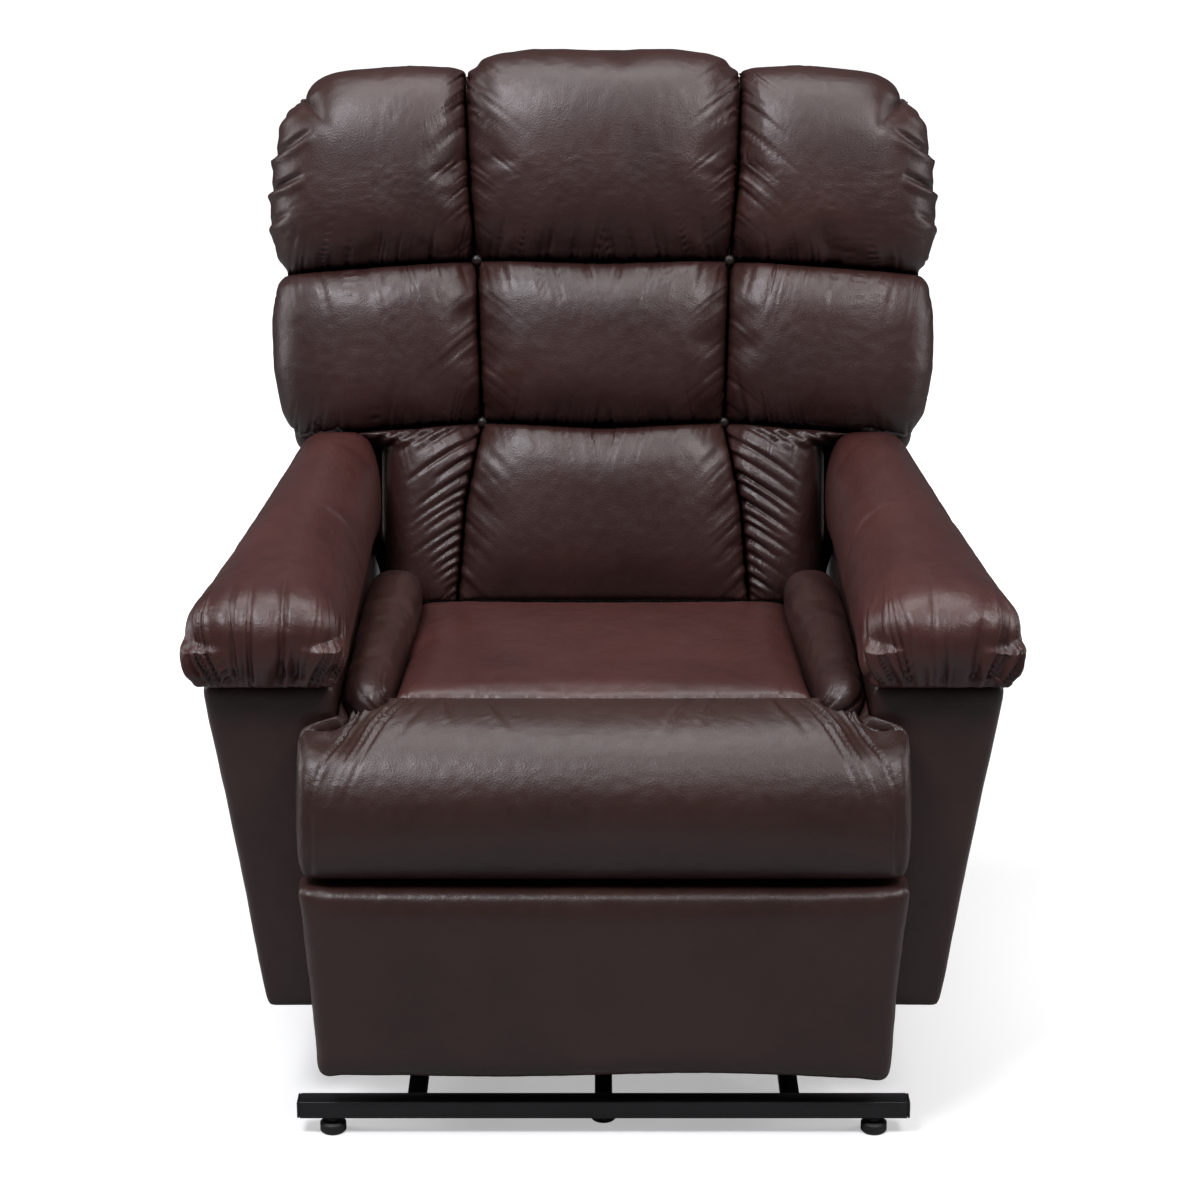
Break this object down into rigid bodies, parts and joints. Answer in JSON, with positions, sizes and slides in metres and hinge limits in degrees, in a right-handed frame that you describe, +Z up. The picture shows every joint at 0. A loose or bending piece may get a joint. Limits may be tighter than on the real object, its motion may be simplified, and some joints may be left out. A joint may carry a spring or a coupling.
{
  "type": "lift recliner chair",
  "caption": "Upholstered recliner with pillow back, padded arms, powered recline and legrest, on a steel base that lifts and tilts it to help the sitter stand.",
  "frame": {"origin": "on the floor, under the middle of the chair", "axes": "+Z up, +Y towards the back of the chair, +X across it, to the right as seen from the front"},
  "size_m": [0.94, 0.98, 1.131],
  "materials": {
    "leather": "semi-gloss dark brown upholstery leather with a fine grain",
    "black_steel": "satin black powder coat",
    "zinc_steel": "bright zinc plate",
    "wood": "raw plywood",
    "black_plastic": "fine moulded texture",
    "grey_plastic": "smooth push buttons",
    "rubber": "matt black"
  },
  "bodies": {
    "base": {"base_front_bar": "black_steel", "base_rear_frame": "black_steel", "front_bar_end_cap_left": "black_plastic", "front_bar_end_cap_right": "black_plastic", "rear_bar_end_cap_left": "black_plastic", "rear_bar_end_cap_right": "black_plastic", "lift_bracket_left": "black_steel", "lift_bracket_right": "black_steel", "lift_actuator_clevis": "black_steel"},
    "foot_front_left": {"foot_front_left": "rubber"},
    "foot_front_center": {"foot_front_center": "rubber"},
    "foot_front_right": {"foot_front_right": "rubber"},
    "foot_rear_left": {"foot_rear_left": "rubber"},
    "foot_rear_right": {"foot_rear_right": "rubber"},
    "lift_arms": {"lift_arms": "black_steel"},
    "tilt_links": {"tilt_link_left": "black_steel", "tilt_link_right": "black_steel"},
    "lift_motor": {"lift_actuator_motor": "black_plastic"},
    "lift_rod": {"lift_actuator_rod": "zinc_steel"},
    "chair_frame": {"seat_side_plate_left": "black_steel", "seat_side_plate_right": "black_steel", "seat_front_rail": "wood", "seat_rear_rail": "wood", "seat_spring_unit": "zinc_steel", "back_actuator_cross_tube": "black_steel", "rear_panel": "leather", "control_box": "black_plastic", "arm_panel_left": "leather", "arm_panel_right": "leather", "arm_pillow_left": "leather", "arm_pillow_right": "leather", "seat_cushion": "leather", "seat_bolster_left": "leather", "seat_bolster_right": "leather", "handset_pocket": "leather"},
    "legrest_drive": {"legrest_drive_links": "zinc_steel"},
    "legrest_links": {"legrest_ottoman_link_left": "zinc_steel", "legrest_ottoman_link_right": "zinc_steel"},
    "footrest": {"footrest_pad": "leather", "footrest_board": "wood", "footrest_bracket_left": "black_steel", "footrest_bracket_right": "black_steel", "calf_roll": "leather"},
    "back": {"back_board": "wood", "back_bracket_left": "black_steel", "back_bracket_right": "black_steel", "back_outer_cover": "leather", "lumbar_pillow": "leather", "middle_pillow": "leather", "head_pillow": "leather", "back_actuator_bracket": "black_steel"},
    "back_motor": {"back_actuator_motor": "black_plastic"},
    "back_rod": {"back_actuator_rod": "zinc_steel"},
    "handset": {"handset_body": "black_plastic"},
    "button_lower_front": {"button_lower_front": "grey_plastic"},
    "button_lower_rear": {"button_lower_rear": "grey_plastic"},
    "button_upper_front": {"button_upper_front": "grey_plastic"},
    "button_upper_rear": {"button_upper_rear": "grey_plastic"}
  },
  "joints": [
    {"name": "lift", "type": "hinge", "parent": "base", "child": "lift_arms", "pos_m": [0, -0.2, 0.072], "axis": [1, 0, 0], "range_deg": [0, 50]},
    {"name": "lift_tilt", "type": "hinge", "parent": "lift_arms", "child": "chair_frame", "pos_m": [0, 0.15, 0.112], "axis": [1, 0, 0], "range_deg": [-25.1, 0]},
    {"name": "tilt_link_pivot", "type": "hinge", "parent": "base", "child": "tilt_links", "pos_m": [0, -0.231, 0.0657], "axis": [1, 0, 0], "range_deg": [0, 54.7]},
    {"name": "lift_motor_pivot", "type": "hinge", "parent": "base", "child": "lift_motor", "pos_m": [0, 0.15, 0.072], "axis": [1, 0, 0], "range_deg": [0, 6.9]},
    {"name": "lift_rod_slide", "type": "slide", "parent": "lift_motor", "child": "lift_rod", "axis": [0, -0.9431, 0.3325], "range_m": [0, 0.09]},
    {"name": "recline", "type": "hinge", "parent": "chair_frame", "child": "back", "pos_m": [0, 0.215, 0.4], "axis": [-1, 0, 0], "range_deg": [0, 42]},
    {"name": "back_motor_pivot", "type": "hinge", "parent": "chair_frame", "child": "back_motor", "pos_m": [-0.11, -0.205, 0.255], "axis": [1, 0, 0], "range_deg": [0, 2.5]},
    {"name": "back_rod_slide", "type": "slide", "parent": "back_motor", "child": "back_rod", "axis": [0, 0.9965, 0.0838], "range_m": [-0.078, 0]},
    {"name": "legrest", "type": "hinge", "parent": "chair_frame", "child": "footrest", "pos_m": [0, -0.44, 0.465], "axis": [-1, 0, 0], "range_deg": [0, 85]},
    {"name": "legrest_drive_pivot", "type": "hinge", "parent": "chair_frame", "child": "legrest_drive", "pos_m": [0, -0.1295, 0.318], "axis": [-1, 0, 0], "range_deg": [0, 85.1]},
    {"name": "legrest_link_pivot", "type": "hinge", "parent": "legrest_drive", "child": "legrest_links", "pos_m": [0, -0.0745, 0.093], "axis": [-1, 0, 0], "range_deg": [-85.1, 0]},
    {"name": "handset_lift", "type": "slide", "parent": "chair_frame", "child": "handset", "axis": [-0.1587, 0, 0.9873], "range_m": [0, 0.11]},
    {"name": "button_lower_front_press", "type": "slide", "parent": "handset", "child": "button_lower_front", "axis": [0.9873, 0, 0.1587], "range_m": [0, 0.0015], "stiffness_N_per_m": 800},
    {"name": "button_lower_rear_press", "type": "slide", "parent": "handset", "child": "button_lower_rear", "axis": [0.9873, 0, 0.1587], "range_m": [0, 0.0015], "stiffness_N_per_m": 800},
    {"name": "button_upper_front_press", "type": "slide", "parent": "handset", "child": "button_upper_front", "axis": [0.9873, 0, 0.1587], "range_m": [0, 0.0015], "stiffness_N_per_m": 800},
    {"name": "button_upper_rear_press", "type": "slide", "parent": "handset", "child": "button_upper_rear", "axis": [0.9873, 0, 0.1587], "range_m": [0, 0.0015], "stiffness_N_per_m": 800},
    {"name": "foot_front_left_turn", "type": "hinge", "parent": "base", "child": "foot_front_left", "pos_m": [-0.309, -0.4445, 0.01], "axis": [0, 0, 1], "continuous": true},
    {"name": "foot_front_center_turn", "type": "hinge", "parent": "base", "child": "foot_front_center", "pos_m": [0, -0.414, 0.01], "axis": [0, 0, 1], "continuous": true},
    {"name": "foot_front_right_turn", "type": "hinge", "parent": "base", "child": "foot_front_right", "pos_m": [0.309, -0.4445, 0.01], "axis": [0, 0, 1], "continuous": true},
    {"name": "foot_rear_left_turn", "type": "hinge", "parent": "base", "child": "foot_rear_left", "pos_m": [-0.272, 0.3425, 0.01], "axis": [0, 0, 1], "continuous": true},
    {"name": "foot_rear_right_turn", "type": "hinge", "parent": "base", "child": "foot_rear_right", "pos_m": [0.272, 0.3425, 0.01], "axis": [0, 0, 1], "continuous": true}
  ],
  "couplings": [
    {"joint": "lift_tilt", "follows": "lift", "ratio": -0.5},
    {"joint": "tilt_link_pivot", "follows": "lift", "ratio": 1.0923},
    {"joint": "lift_motor_pivot", "follows": "lift", "ratio": 0.13546},
    {"joint": "lift_rod_slide", "follows": "lift", "m_per_rad": 0.1025},
    {"joint": "back_motor_pivot", "follows": "recline", "ratio": 0.05736},
    {"joint": "back_rod_slide", "follows": "recline", "m_per_rad": -0.10458},
    {"joint": "legrest_drive_pivot", "follows": "legrest", "ratio": 1},
    {"joint": "legrest_link_pivot", "follows": "legrest", "ratio": -1}
  ]
}
